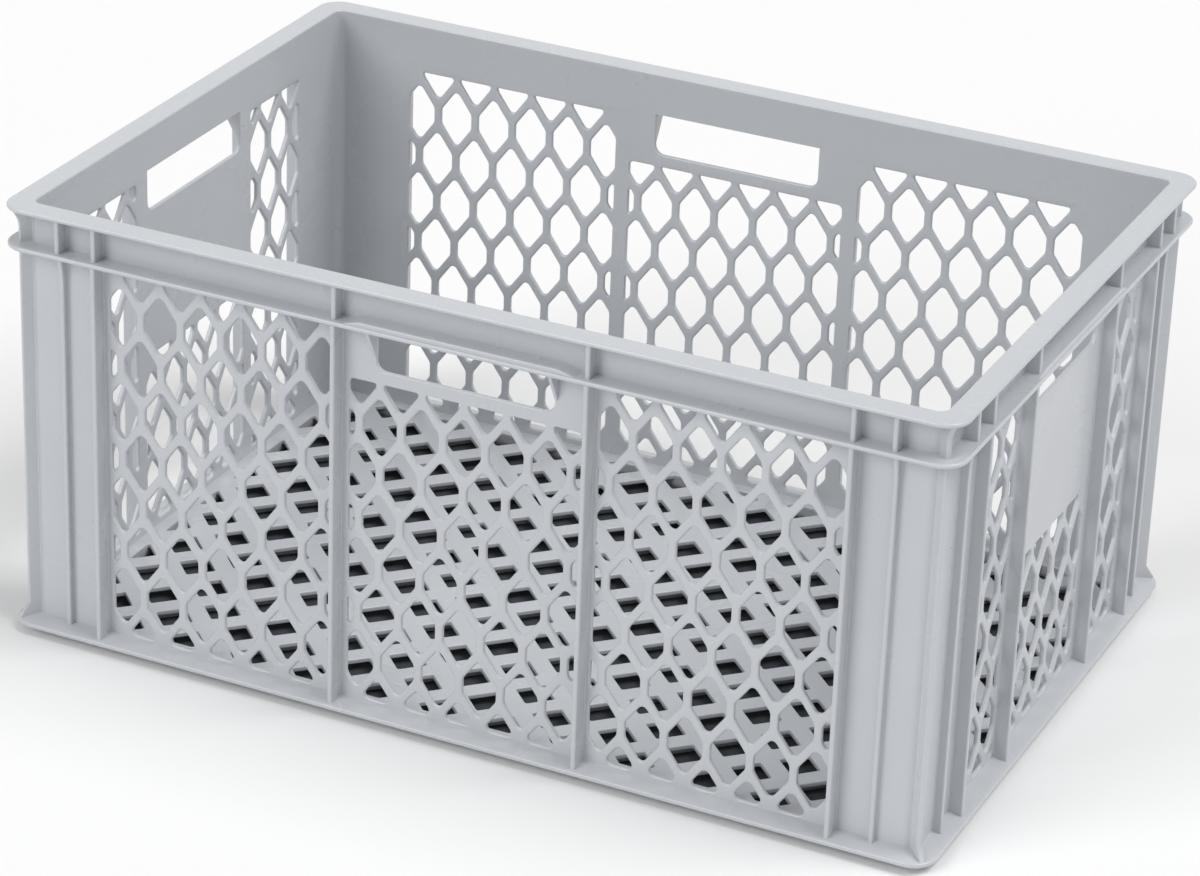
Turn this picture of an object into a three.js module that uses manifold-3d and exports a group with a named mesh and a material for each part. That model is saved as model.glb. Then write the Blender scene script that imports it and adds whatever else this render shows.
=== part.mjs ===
// A stacking crate with open-mesh walls and floor, in millimetres.
// X runs along the long walls, Y along the short walls and Z is up.
// The origin is on the ground, under the middle of the crate.
// The real crate is one moulding, so its pieces here meet face to face along its own feature lines.

import * as THREE from "three";
import { mergeVertices } from "three/addons/utils/BufferGeometryUtils.js";
import Module from "manifold-3d";

const wasm = await Module();
wasm.setup();

// Overall size
const LENGTH = 600;
const WIDTH = 400;
const HEIGHT = 280;
const CORNER_RADIUS = 15; // of the lip, flange and skirt, seen from above

// Wall skin
const SKIN = 3;
const SKIN_INSET = 12; // from the outermost edge of the crate in to the outside of the skin
const SKIN_RADIUS = 9; // of the outside of the skin at each corner

// Mouth: lip on top, recessed band, flange below it
const LIP_THICKNESS = 3;
const BAND_HEIGHT = 21;
const FLANGE_THICKNESS = 3;
const EDGE_ROUND = 1; // on the outer edges of the lip and the flange

// Grip: a raised strip on the flange over each hand hole, with sloping ends
const GRIP_RISE = 2.7;
const GRIP_HALF = 62; // half its length on top
const GRIP_RAMP = 12;

// Base: skirt round the outside, foot that drops into the mouth of the crate below
const FOOT_HEIGHT = 5;
const FOOT_CLEARANCE = 2; // on each side, in the mouth of the crate below
const FOOT_RIM = 6;
const SKIRT_EDGE = 3;
const SKIRT_RISE = 2.5; // of the skirt's sloping top, from its edge to the skin
const FLOOR_THICKNESS = 3;

// Where the walls divide, by the distance from the end or from the middle of the wall
const POST_LENGTH = 65;
const LONG_DIVIDER = 79.5;
const SHORT_DIVIDER = 67;

// Upright ribs, by the distance of their middle from the end of the wall
const RIB_THICKNESS = 3.2;
const SECOND_RIB_MARGIN = 2.5; // from the rib's middle to where the corner post ends
const RIB_SPACING = 24.5;
const SECOND_RIB = POST_LENGTH - SECOND_RIB_MARGIN;
const FIRST_RIB = SECOND_RIB - RIB_SPACING;
const LONG_FIRST_INSET = 8; // from the outermost edge of the crate in to the first rib's edge
const LONG_FIRST_TOP_INSET = 5; // at its top, where it spreads under the flange
const LONG_RIB_INSET = 2; // of the second rib and the divider
const SHORT_FIRST_INSET = 6.5;
const SHORT_FIRST_TOP_INSET = 5;
const SHORT_RIB_INSET = 3.3;
const FIRST_SPREAD = 22; // height over which the first rib spreads
const BAND_RIB_INSET = 3;
const RIB_ROOT = 1; // how deep a rib that belongs to the same piece starts inside the skin

// Diagonal rib on each corner, with insets measured along both walls alike
const DIAGONAL_INSET = 9;
const DIAGONAL_FOOT_INSET = 5;
const DIAGONAL_FLARE = 7; // height over which the foot spreads
const GUSSET_STRAIGHT = 12; // height over the flange up to which the gusset's edge is upright

// Mesh of the walls: upright struts joined by sloping strands
const MESH_PITCH = 26.85;
const ROW_PITCH = 30.5;
const STRUT_LENGTH = 12;
const STRAND = 5.3;
const TIP_FILL = 2.1; // how far each hole's blunt tip stops short of where its sides would meet
const TOP_ROW_DROP = 2.25; // from the flange's underside down to the first row's middle
const SMALLEST_HOLE = 30; // area in square millimetres under which a trimmed hole is left solid

// Solid margins round the mesh
const MARGIN_TOP = 5;
const MARGIN_FOOT = 1.5;
const MARGIN_POST = 3;
const LONG_MARGIN_OUT = 4.5; // from the divider's middle towards the wall's ends
const LONG_MARGIN_IN = 6; // and towards the middle of the wall
const SHORT_MARGIN_OUT = 3;
const SHORT_MARGIN_IN = 7;
const MARGIN_UNDER_FRAME = 3;

// Hand holes under the flange, with a web at each end that runs out to the flange's edge
const HANDLE_HEIGHT = 27;
const HANDLE_WIDTH = 112;
const HANDLE_RADIUS = 6;
const WEB_THICKNESS = 2.4;
const WEB_HEIGHT = 19;
const FRAME_FOOT = 5.5; // solid strip under the hand hole

// Plain panel over the centre mesh of each short wall
const LABEL_HEIGHT = 89;

// Floor: flat bars at 45 degrees, with deeper ribs under every second bar
const FLOOR_PITCH = 30.2;
const FLOOR_BAR = 12;
const FLOOR_MARGIN = 8;
const FLOOR_RIB = 3;
const BARS_PER_RIB = 2;

const SEAT_GAP = 0.3; // under the foot of the diagonal ribs
const CORNER_STEPS = 6; // straight pieces in each quarter turn
const CUT_PAST = 1; // how far a cutter runs past the faces it cuts
const SAME_POINT = 1e-4; // distance under which two points are one
const GREY = 0xc2c6ca;

// Levels above the ground
const LIP_UNDER = HEIGHT - LIP_THICKNESS;
const FLANGE_TOP = LIP_UNDER - BAND_HEIGHT;
const WALL_TOP = FLANGE_TOP - FLANGE_THICKNESS;
const SKIRT_TOP = FOOT_HEIGHT + SKIRT_EDGE;
const WALL_FOOT = SKIRT_TOP + SKIRT_RISE;
const FRAME_UNDER = WALL_TOP - HANDLE_HEIGHT - FRAME_FOOT;
const LABEL_UNDER = FRAME_UNDER - LABEL_HEIGHT;

// Insets and radii of the inside of the skin
const INSIDE_INSET = SKIN_INSET + SKIN;
const INSIDE_RADIUS = SKIN_RADIUS - SKIN;

// The two kinds of wall. Each is modelled as the wall on the -Y side:
// half is half the crate's size along the wall, face is the outermost edge's distance from the middle.
// The mesh of a panel is set out from that panel's middle where meshCentred, else from the wall's.
const LONG_WALL = {
  half: LENGTH / 2,
  face: WIDTH / 2,
  divider: LONG_DIVIDER,
  firstInset: LONG_FIRST_INSET,
  firstTopInset: LONG_FIRST_TOP_INSET,
  ribInset: LONG_RIB_INSET,
  marginOut: LONG_MARGIN_OUT,
  marginIn: LONG_MARGIN_IN,
  firstRow: 0,
  meshCentred: true,
};
const SHORT_WALL = {
  half: WIDTH / 2,
  face: LENGTH / 2,
  divider: SHORT_DIVIDER,
  firstInset: SHORT_FIRST_INSET,
  firstTopInset: SHORT_FIRST_TOP_INSET,
  ribInset: SHORT_RIB_INSET,
  marginOut: SHORT_MARGIN_OUT,
  marginIn: SHORT_MARGIN_IN,
  firstRow: 1,
  meshCentred: false,
};

// A closed three.js geometry as a solid that can be joined and cut.
function solidOf(geometry) {
  const bare = geometry.clone();
  bare.deleteAttribute("normal");
  bare.deleteAttribute("uv");
  const merged = mergeVertices(bare, SAME_POINT);
  return new wasm.Manifold(
    new wasm.Mesh({
      numProp: 3,
      vertProperties: merged.attributes.position.array,
      triVerts: new Uint32Array(merged.index.array),
    }),
  );
}

// A solid as a three.js geometry with flat faces.
function geometryOf(solid) {
  const { vertProperties, triVerts } = solid.getMesh();
  const geometry = new THREE.BufferGeometry();
  geometry.setAttribute("position", new THREE.BufferAttribute(vertProperties, 3));
  geometry.setIndex(new THREE.BufferAttribute(triVerts, 1));
  const faceted = geometry.toNonIndexed();
  faceted.computeVertexNormals();
  return faceted;
}

// Several geometries joined into one.
function joined(geometries) {
  const whole = geometries.map(solidOf).reduce((sum, next) => sum.add(next));
  return geometryOf(whole);
}

// A corner-to-corner path from [x, y] pairs.
function outline(points) {
  return new THREE.Shape(points.map(([x, y]) => new THREE.Vector2(x, y)));
}

// Flat shapes drawn on the ground plane, raised from one level to another.
function raised(shapes, from, to) {
  const geometry = new THREE.ExtrudeGeometry(shapes, {
    depth: to - from,
    bevelEnabled: false,
    curveSegments: CORNER_STEPS,
  });
  return geometry.translate(0, 0, from);
}

// Shapes drawn on a wall, across and up, made as thick as from their inside to their outside distance.
function onWall(shapes, inside, outside) {
  const geometry = new THREE.ExtrudeGeometry(shapes, {
    depth: outside - inside,
    bevelEnabled: false,
    curveSegments: CORNER_STEPS,
  });
  return geometry.rotateX(Math.PI / 2).translate(0, -inside, 0);
}

// Points of a rounded rectangle round the crate, inset from its outermost edge, counter-clockwise.
function ring(inset, radius, level) {
  const points = [];
  const x = LENGTH / 2 - inset - radius;
  const y = WIDTH / 2 - inset - radius;
  const centres = [[x, y], [-x, y], [-x, -y], [x, -y]];
  centres.forEach(([cx, cy], corner) => {
    for (let step = 0; step <= CORNER_STEPS; step += 1) {
      const angle = ((corner + step / CORNER_STEPS) * Math.PI) / 2;
      points.push([cx + radius * Math.cos(angle), cy + radius * Math.sin(angle), level]);
    }
  });
  return points;
}

// A closed hoop whose section runs through the given rings: up the outside, down the inside.
function hoop(rings) {
  const count = rings[0].length;
  const index = [];
  rings.forEach((_, k) => {
    const here = k * count;
    const next = ((k + 1) % rings.length) * count;
    for (let i = 0; i < count; i += 1) {
      const j = (i + 1) % count;
      index.push(here + i, here + j, next + j);
      index.push(here + i, next + j, next + i);
    }
  });
  const geometry = new THREE.BufferGeometry();
  geometry.setAttribute("position", new THREE.Float32BufferAttribute(rings.flat(2), 3));
  geometry.setIndex(index);
  geometry.computeVertexNormals();
  return geometry;
}

// A flat flange from the outermost edge in to the inside of the skin, its outer edges eased.
function flange(under, top) {
  return hoop([
    ring(EDGE_ROUND, CORNER_RADIUS - EDGE_ROUND, under),
    ring(0, CORNER_RADIUS, under + EDGE_ROUND),
    ring(0, CORNER_RADIUS, top - EDGE_ROUND),
    ring(EDGE_ROUND, CORNER_RADIUS - EDGE_ROUND, top),
    ring(INSIDE_INSET, INSIDE_RADIUS, top),
    ring(INSIDE_INSET, INSIDE_RADIUS, under),
  ]);
}

// The skirt: flat below, with a thin upright edge and a top that slopes up to the skin.
function baseSkirt() {
  return hoop([
    ring(0, CORNER_RADIUS, FOOT_HEIGHT),
    ring(0, CORNER_RADIUS, SKIRT_TOP),
    ring(SKIN_INSET, SKIN_RADIUS, WALL_FOOT),
    ring(INSIDE_INSET, INSIDE_RADIUS, WALL_FOOT),
    ring(INSIDE_INSET, INSIDE_RADIUS, FOOT_HEIGHT),
  ]);
}

// An upright rib as a profile (outward, up), centred about the wall position x.
function ribFrom(profile, wall, x, thickness = RIB_THICKNESS) {
  const geometry = new THREE.ExtrudeGeometry(outline(profile), { depth: thickness, bevelEnabled: false });
  geometry.rotateX(Math.PI / 2).rotateZ(-Math.PI / 2);
  return geometry.translate(x + thickness / 2, SKIN_INSET - wall.face, 0);
}

// Foot of an upright rib's profile, from the skin out along the sloping skirt.
function ribFoot(reach) {
  return [[0, WALL_FOOT], [reach, WALL_FOOT - (SKIRT_RISE * reach) / SKIN_INSET]];
}

// Profile of a corner post's first rib, which spreads under the flange.
function firstRibProfile(wall) {
  const reach = SKIN_INSET - wall.firstInset;
  return [
    ...ribFoot(reach),
    [reach, WALL_TOP - FIRST_SPREAD],
    [SKIN_INSET - wall.firstTopInset, WALL_TOP],
    [-RIB_ROOT, WALL_TOP],
    [-RIB_ROOT, WALL_FOOT],
  ];
}

// Profile of its second rib, whose edge is straight.
function secondRibProfile(wall) {
  const reach = SKIN_INSET - wall.ribInset;
  return [...ribFoot(reach), [reach, WALL_TOP], [-RIB_ROOT, WALL_TOP], [-RIB_ROOT, WALL_FOOT]];
}

// Turns a profile in the plane through the corner's diagonal into a rib at the +X -Y corner.
function diagonalRib(profile) {
  const across = profile.map(([inset, level]) => [-inset * Math.SQRT2, level]);
  const geometry = new THREE.ExtrudeGeometry(outline(across.reverse()), {
    depth: RIB_THICKNESS,
    bevelEnabled: false,
  });
  geometry.translate(0, 0, -RIB_THICKNESS / 2).rotateX(Math.PI / 2).rotateZ(-Math.PI / 4);
  return geometry.translate(LENGTH / 2, -WIDTH / 2, 0);
}

// Inset of a rounded corner's middle, where its diagonal crosses it.
function diagonalInset(inset, radius) {
  return inset + radius * (1 - Math.SQRT1_2);
}

// Where the diagonal ribs start: halfway through the skin.
const DIAGONAL_ROOT = diagonalInset(SKIN_INSET + SKIN / 2, SKIN_RADIUS - SKIN / 2);

// The diagonal rib of a corner post, with its spread foot just clear of the skirt's slope.
function postDiagonal() {
  const skin = diagonalInset(SKIN_INSET, SKIN_RADIUS);
  const edge = diagonalInset(0, CORNER_RADIUS);
  const slopeAt = (inset) => WALL_FOOT - (SKIRT_RISE * (skin - inset)) / (skin - edge) + SEAT_GAP;
  return diagonalRib([
    [DIAGONAL_ROOT, WALL_FOOT + SEAT_GAP],
    [skin, WALL_FOOT + SEAT_GAP],
    [DIAGONAL_FOOT_INSET, slopeAt(DIAGONAL_FOOT_INSET)],
    [DIAGONAL_INSET, WALL_FOOT + DIAGONAL_FLARE],
    [DIAGONAL_INSET, WALL_TOP],
    [DIAGONAL_ROOT, WALL_TOP],
  ]);
}

// The post at the +X -Y corner: skin round the corner with its two upright ribs on each wall.
function cornerPost() {
  const x = LENGTH / 2;
  const y = WIDTH / 2;
  const shape = new THREE.Shape();
  shape.moveTo(x - POST_LENGTH, SKIN_INSET - y);
  shape.lineTo(x - SKIN_INSET - SKIN_RADIUS, SKIN_INSET - y);
  const centre = [x - SKIN_INSET - SKIN_RADIUS, SKIN_INSET + SKIN_RADIUS - y];
  shape.absarc(...centre, SKIN_RADIUS, -Math.PI / 2, 0, false);
  shape.lineTo(x - SKIN_INSET, POST_LENGTH - y);
  shape.lineTo(x - INSIDE_INSET, POST_LENGTH - y);
  shape.lineTo(x - INSIDE_INSET, centre[1]);
  shape.absarc(...centre, INSIDE_RADIUS, 0, -Math.PI / 2, true);
  shape.lineTo(x - POST_LENGTH, INSIDE_INSET - y);
  return joined([
    raised(shape, WALL_FOOT, WALL_TOP),
    ribFrom(firstRibProfile(LONG_WALL), LONG_WALL, x - FIRST_RIB),
    ribFrom(secondRibProfile(LONG_WALL), LONG_WALL, x - SECOND_RIB),
    ribFrom(firstRibProfile(SHORT_WALL), SHORT_WALL, FIRST_RIB - y).rotateZ(Math.PI / 2),
    ribFrom(secondRibProfile(SHORT_WALL), SHORT_WALL, SECOND_RIB - y).rotateZ(Math.PI / 2),
    postDiagonal(),
  ]);
}

// The raised grip on the flange over a wall's hand hole.
function grip(wall) {
  const top = FLANGE_TOP + GRIP_RISE;
  const foot = GRIP_HALF + GRIP_RAMP;
  const shape = outline([[-foot, FLANGE_TOP], [foot, FLANGE_TOP], [GRIP_HALF, top], [-GRIP_HALF, top]]);
  return onWall(shape, wall.face - SKIN_INSET - RIB_ROOT, wall.face - EDGE_ROUND);
}

// The band between lip and flange, with a short rib over each upright rib, the grips and,
// on each corner, a gusset that spreads to the lip's edge.
function rimBand() {
  const pieces = [
    hoop([
      ring(SKIN_INSET, SKIN_RADIUS, FLANGE_TOP),
      ring(SKIN_INSET, SKIN_RADIUS, LIP_UNDER),
      ring(INSIDE_INSET, INSIDE_RADIUS, LIP_UNDER),
      ring(INSIDE_INSET, INSIDE_RADIUS, FLANGE_TOP),
    ]),
  ];
  const reach = SKIN_INSET - BAND_RIB_INSET;
  const profile = [
    [-RIB_ROOT, FLANGE_TOP],
    [reach, FLANGE_TOP],
    [reach, LIP_UNDER],
    [-RIB_ROOT, LIP_UNDER],
  ];
  [LONG_WALL, SHORT_WALL].forEach((wall, turn) => {
    const places = [wall.half - FIRST_RIB, wall.half - SECOND_RIB, wall.divider];
    for (const side of [0, 2]) {
      const onSide = [grip(wall), ...places.flatMap((x) => [x, -x]).map((x) => ribFrom(profile, wall, x))];
      pieces.push(...onSide.map((geometry) => geometry.rotateZ(((side + turn) * Math.PI) / 2)));
    }
  });
  const gusset = [
    [DIAGONAL_ROOT, FLANGE_TOP],
    [DIAGONAL_INSET, FLANGE_TOP],
    [DIAGONAL_INSET, FLANGE_TOP + GUSSET_STRAIGHT],
    [diagonalInset(EDGE_ROUND, CORNER_RADIUS - EDGE_ROUND), LIP_UNDER],
    [DIAGONAL_ROOT, LIP_UNDER],
  ];
  for (const [mirrorX, mirrorY] of CORNERS) pieces.push(mirrored(diagonalRib(gusset), mirrorX, mirrorY));
  return joined(pieces);
}

// The part of a convex polygon that lies inside a window {left, right, foot, top}.
function clipped(points, window) {
  const sides = [
    ([x]) => x - window.left,
    ([x]) => window.right - x,
    ([, y]) => y - window.foot,
    ([, y]) => window.top - y,
  ];
  return sides.reduce((kept, inside) => {
    const result = [];
    kept.forEach((point, i) => {
      const next = kept[(i + 1) % kept.length];
      const a = inside(point);
      const b = inside(next);
      if (a >= 0) result.push(point);
      if (a * b < 0) {
        const share = a / (a - b);
        result.push([point[0] + share * (next[0] - point[0]), point[1] + share * (next[1] - point[1])]);
      }
    });
    return result;
  }, points);
}

// The shapes of the holes as trimmed by the window, without the slivers that trimming leaves.
function trimmed(holes, window) {
  return holes
    .map((hole) => clipped(hole, window))
    .filter((points) => points.length > 2)
    .map(outline)
    .filter((shape) => Math.abs(THREE.ShapeUtils.area(shape.getPoints())) > SMALLEST_HOLE);
}

// A plate with a cutter's solids taken out of it.
function cut(plate, cutter) {
  return geometryOf(solidOf(plate).subtract(solidOf(cutter)));
}

// The holes of the wall mesh in every place that could reach the window, set out from a middle line.
function meshHoles(wall, window, middle) {
  const slope = (ROW_PITCH - STRUT_LENGTH) / (MESH_PITCH / 2);
  const half = (MESH_PITCH - STRAND) / 2;
  const peak = ROW_PITCH - STRUT_LENGTH / 2 - (STRAND / 2) * Math.hypot(1, slope);
  const shoulder = peak - half * slope;
  const tip = peak - TIP_FILL;
  const hole = [
    [half, shoulder],
    [0, tip],
    [-half, shoulder],
    [-half, -shoulder],
    [0, -tip],
    [half, -shoulder],
  ];
  const holes = [];
  const rows = Math.ceil((WALL_TOP - window.foot) / ROW_PITCH);
  const columns = Math.ceil(Math.max(middle - window.left, window.right - middle) / MESH_PITCH) + 1;
  for (let row = 0; row <= rows; row += 1) {
    const level = WALL_TOP - TOP_ROW_DROP - row * ROW_PITCH;
    const shift = (row + wall.firstRow) % 2 ? MESH_PITCH / 2 : 0;
    for (let column = -columns; column <= columns; column += 1) {
      const centre = middle + column * MESH_PITCH + shift;
      holes.push(hole.map(([x, y]) => [centre + x, level + y]));
    }
  }
  return holes;
}

// A plain plate of a wall between two positions along it and two levels.
function wallPlate({ left, right, foot, top }, inside, outside) {
  return onWall(outline([[left, foot], [right, foot], [right, top], [left, top]]), inside, outside);
}

// A mesh panel of a wall, with its solid margins.
function meshPanel(wall, plate, margins) {
  const window = {
    left: plate.left + margins.left,
    right: plate.right - margins.right,
    foot: plate.foot + MARGIN_FOOT,
    top: plate.top - margins.top,
  };
  const inside = wall.face - INSIDE_INSET;
  const outside = wall.face - SKIN_INSET;
  const middle = wall.meshCentred ? (window.left + window.right) / 2 : 0;
  const holes = trimmed(meshHoles(wall, window, middle), window);
  return cut(wallPlate(plate, inside, outside), onWall(holes, inside - CUT_PAST, outside + CUT_PAST));
}

function sidePanel(wall) {
  const plate = { left: wall.divider, right: wall.half - POST_LENGTH, foot: WALL_FOOT, top: WALL_TOP };
  const margins = { left: wall.marginOut, right: MARGIN_POST, top: MARGIN_TOP };
  return meshPanel(wall, plate, margins);
}

function centreMesh(wall, top) {
  const plate = { left: -wall.divider, right: wall.divider, foot: WALL_FOOT, top };
  return meshPanel(wall, plate, { left: wall.marginIn, right: wall.marginIn, top: MARGIN_UNDER_FRAME });
}

function plainPanel(wall, foot, top) {
  const plate = { left: -wall.divider, right: wall.divider, foot, top };
  return wallPlate(plate, wall.face - INSIDE_INSET, wall.face - SKIN_INSET);
}

// Outline of a hand hole, open upwards past the wall's top, with rounded lower corners.
function handleOutline() {
  const half = HANDLE_WIDTH / 2;
  const top = WALL_TOP + CUT_PAST;
  const arcLevel = WALL_TOP - HANDLE_HEIGHT + HANDLE_RADIUS;
  const shape = new THREE.Shape();
  shape.moveTo(half, top);
  shape.lineTo(-half, top);
  shape.absarc(HANDLE_RADIUS - half, arcLevel, HANDLE_RADIUS, Math.PI, 1.5 * Math.PI, false);
  shape.absarc(half - HANDLE_RADIUS, arcLevel, HANDLE_RADIUS, 1.5 * Math.PI, 2 * Math.PI, false);
  return shape;
}

// The frame of a hand hole: a plain panel cut by the hole, with a three-cornered web at each end of it.
function handleFrame(wall) {
  const inside = wall.face - INSIDE_INSET;
  const outside = wall.face - SKIN_INSET;
  const cutter = onWall(handleOutline(), inside - CUT_PAST, outside + CUT_PAST);
  const web = [
    [-RIB_ROOT, WALL_TOP - WEB_HEIGHT],
    [0, WALL_TOP - WEB_HEIGHT],
    [SKIN_INSET - EDGE_ROUND, WALL_TOP],
    [-RIB_ROOT, WALL_TOP],
  ];
  const webMiddle = (HANDLE_WIDTH + WEB_THICKNESS) / 2;
  return joined([
    cut(plainPanel(wall, FRAME_UNDER, WALL_TOP), cutter),
    ribFrom(web, wall, webMiddle, WEB_THICKNESS),
    ribFrom(web, wall, -webMiddle, WEB_THICKNESS),
  ]);
}

// The upright rib where two panels meet, standing on the outside of the skin.
function dividerRib(wall) {
  const reach = SKIN_INSET - wall.ribInset;
  return ribFrom([...ribFoot(reach), [reach, WALL_TOP], [0, WALL_TOP]], wall, wall.divider);
}

// Square holes standing on their corners, in a grid at 45 degrees through the middle of the crate.
function diamondHoles(pitch, bar, window) {
  const step = pitch / Math.SQRT2;
  const reach = (pitch - bar) / Math.SQRT2;
  const across = Math.ceil(window.right / step) + 1;
  const along = Math.ceil(window.top / step) + 1;
  const holes = [];
  for (let i = -across; i <= across; i += 1) {
    for (let j = -along; j <= along; j += 1) {
      if (Math.abs(i + j) % 2 === 0) continue;
      const x = i * step;
      const y = j * step;
      holes.push([[x + reach, y], [x, y + reach], [x - reach, y], [x, y - reach]]);
    }
  }
  return holes;
}

// A rounded plate between two levels, with diamond holes that stop short of its edge.
function latticePlate({ inset, radius, pitch, bar, margin, from, to }) {
  const x = LENGTH / 2 - inset - margin;
  const y = WIDTH / 2 - inset - margin;
  const window = { left: -x, right: x, foot: -y, top: y };
  const plate = raised(outline(ring(inset, radius, from)), from, to);
  const holes = trimmed(diamondHoles(pitch, bar, window), window);
  return cut(plate, raised(holes, from - CUT_PAST, to + CUT_PAST));
}

function floorMesh() {
  return latticePlate({
    inset: INSIDE_INSET,
    radius: INSIDE_RADIUS,
    pitch: FLOOR_PITCH,
    bar: FLOOR_BAR,
    margin: FLOOR_MARGIN,
    from: FOOT_HEIGHT,
    to: FOOT_HEIGHT + FLOOR_THICKNESS,
  });
}

// The foot's rim with the deep ribs that run under every second floor bar.
function stackingFoot() {
  return latticePlate({
    inset: INSIDE_INSET + FOOT_CLEARANCE,
    radius: INSIDE_RADIUS,
    pitch: FLOOR_PITCH * BARS_PER_RIB,
    bar: FLOOR_RIB,
    margin: FOOT_RIM,
    from: 0,
    to: FOOT_HEIGHT,
  });
}

// The four corners as signs of the model at the +X -Y corner.
const CORNERS = [[false, false], [true, false], [true, true], [false, true]];

// A geometry mirrored across the crate's middle planes, with its faces kept pointing out.
function mirrored(geometry, mirrorX, mirrorY) {
  const copy = geometry.index ? geometry.toNonIndexed() : geometry.clone();
  copy.scale(mirrorX ? -1 : 1, mirrorY ? -1 : 1, 1);
  if (mirrorX !== mirrorY) {
    const places = copy.attributes.position;
    for (let i = 0; i < places.count; i += 3) {
      const swap = [places.getX(i), places.getY(i), places.getZ(i)];
      places.setXYZ(i, places.getX(i + 1), places.getY(i + 1), places.getZ(i + 1));
      places.setXYZ(i + 1, ...swap);
    }
  }
  copy.computeVertexNormals();
  return copy;
}

const crate = new THREE.Group();

function place(name, geometry, group = crate) {
  const material = new THREE.MeshStandardMaterial({ color: GREY, roughness: 0.5, metalness: 0 });
  const mesh = new THREE.Mesh(geometry, material);
  mesh.name = name;
  group.add(mesh);
}

place("top_lip", flange(LIP_UNDER, HEIGHT));
place("rim_band", rimBand());
place("stacking_flange", flange(WALL_TOP, FLANGE_TOP));
place("base_skirt", baseSkirt());
place("floor_mesh", floorMesh());
place("stacking_foot", stackingFoot());

const post = cornerPost();
for (const [mirrorX, mirrorY] of CORNERS) {
  const name = (mirrorY ? "back" : "front") + "_" + (mirrorX ? "left" : "right");
  place("corner_post_" + name, mirrored(post, mirrorX, mirrorY));
}

// Pieces of one wall in its own group, turned from the -Y side to its place.
function wallGroup(quarterTurns) {
  const group = new THREE.Group();
  group.rotation.z = (quarterTurns * Math.PI) / 2;
  crate.add(group);
  return group;
}

// The two sides of a wall, seen from outside it, as [name, mirrored].
const SIDES = [["right", false], ["left", true]];

for (const [name, turns] of [["front", 0], ["back", 2]]) {
  const group = wallGroup(turns);
  place(name + "_centre_mesh", centreMesh(LONG_WALL, FRAME_UNDER), group);
  place(name + "_handle_frame", handleFrame(LONG_WALL), group);
  for (const [side, flip] of SIDES) {
    place(name + "_mesh_" + side, mirrored(sidePanel(LONG_WALL), flip, false), group);
    place(name + "_divider_" + side, mirrored(dividerRib(LONG_WALL), flip, false), group);
  }
}

for (const [name, turns] of [["end_right", 1], ["end_left", 3]]) {
  const group = wallGroup(turns);
  place(name + "_centre_mesh", centreMesh(SHORT_WALL, LABEL_UNDER), group);
  place(name + "_label_panel", plainPanel(SHORT_WALL, LABEL_UNDER, FRAME_UNDER), group);
  place(name + "_handle_frame", handleFrame(SHORT_WALL), group);
  for (const [side, flip] of SIDES) {
    place(name + "_mesh_" + side, mirrored(sidePanel(SHORT_WALL), flip, false), group);
    place(name + "_divider_" + side, mirrored(dividerRib(SHORT_WALL), flip, false), group);
  }
}

export default crate;
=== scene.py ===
"""The looks of a perforated stacking crate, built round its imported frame.

The crate is one injection moulding in light grey polyethylene. X runs along its long walls and Z is up.
Each piece below takes the place of one or more solids of the frame and keeps their faces, with the rounded
edges and tips that the mould gives the real one. Sizes are in metres.
"""

import math
from typing import NamedTuple

import bmesh
import bpy
from bpy.props import FloatProperty, FloatVectorProperty, IntProperty, PointerProperty
from mathutils import Matrix, Vector
from mathutils.geometry import delaunay_2d_cdt


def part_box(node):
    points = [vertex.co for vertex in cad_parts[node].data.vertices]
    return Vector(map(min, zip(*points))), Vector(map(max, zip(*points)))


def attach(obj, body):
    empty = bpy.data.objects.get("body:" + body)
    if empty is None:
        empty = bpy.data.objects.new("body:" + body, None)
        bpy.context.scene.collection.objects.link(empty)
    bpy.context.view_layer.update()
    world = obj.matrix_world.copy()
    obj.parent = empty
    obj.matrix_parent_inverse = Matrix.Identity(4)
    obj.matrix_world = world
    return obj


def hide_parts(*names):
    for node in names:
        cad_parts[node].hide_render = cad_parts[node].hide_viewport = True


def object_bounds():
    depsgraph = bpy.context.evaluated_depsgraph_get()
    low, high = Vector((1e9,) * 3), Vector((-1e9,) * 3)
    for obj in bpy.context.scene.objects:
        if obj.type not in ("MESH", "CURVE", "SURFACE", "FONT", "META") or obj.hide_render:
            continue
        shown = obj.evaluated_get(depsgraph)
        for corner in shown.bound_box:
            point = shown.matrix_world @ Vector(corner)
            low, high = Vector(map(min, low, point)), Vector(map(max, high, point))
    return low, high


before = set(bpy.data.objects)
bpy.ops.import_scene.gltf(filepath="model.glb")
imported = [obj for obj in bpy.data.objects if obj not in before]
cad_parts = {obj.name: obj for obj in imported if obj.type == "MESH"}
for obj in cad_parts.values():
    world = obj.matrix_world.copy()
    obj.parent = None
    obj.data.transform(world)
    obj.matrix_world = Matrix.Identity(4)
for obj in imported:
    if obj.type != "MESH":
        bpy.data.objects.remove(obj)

bl_info = {
    "name": "Perforated stacking crate",
    "version": (1, 0, 0),
    "blender": (4, 5, 0),
    "location": "View3D > Sidebar > Crate",
    "description": "Builds a moulded stacking crate with mesh walls on its packed frame",
    "category": "Add Mesh",
}

BODY = "root"
MM = 0.001

# Places that the frame gives. Each is the lowest and the highest corner of one solid.
CAD_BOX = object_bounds()
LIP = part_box("top_lip")
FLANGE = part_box("stacking_flange")
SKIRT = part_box("base_skirt")
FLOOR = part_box("floor_mesh")
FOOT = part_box("stacking_foot")
LONG_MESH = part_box("front_mesh_right")
LONG_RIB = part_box("front_divider_right")
LONG_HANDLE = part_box("front_handle_frame")
SHORT_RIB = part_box("end_right_divider_right")
SHORT_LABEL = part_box("end_right_label_panel")

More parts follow.
